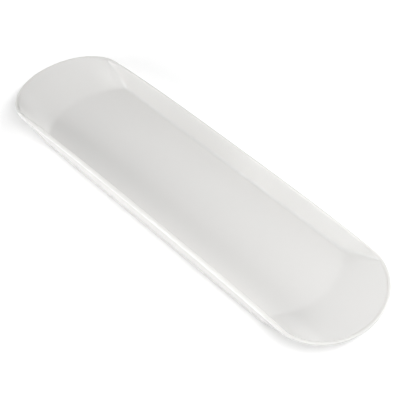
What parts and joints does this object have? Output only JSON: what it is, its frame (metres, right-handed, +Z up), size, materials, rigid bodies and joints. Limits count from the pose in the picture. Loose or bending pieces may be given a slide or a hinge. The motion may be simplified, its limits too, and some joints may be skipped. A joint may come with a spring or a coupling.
{
  "type": "asparagus plate",
  "caption": "Long white porcelain serving plate for asparagus: a shallow trough with steep straight sides, sloping rounded ends, an arched rim and a foot ring.",
  "frame": {"origin": "on the table, below the middle of the plate: the centre of the standing face's plane", "axes": "+X along the plate towards one rounded end, +Y across it towards one wall, +Z up out of the well"},
  "size_m": [0.4, 0.1098, 0.027],
  "materials": {
    "biscuit": "matte",
    "glaze": "gloss"
  },
  "bodies": {
    "root": {"porcelain_body": "biscuit", "outer_glaze": "glaze", "recess_glaze": "glaze"}
  },
  "joints": []
}
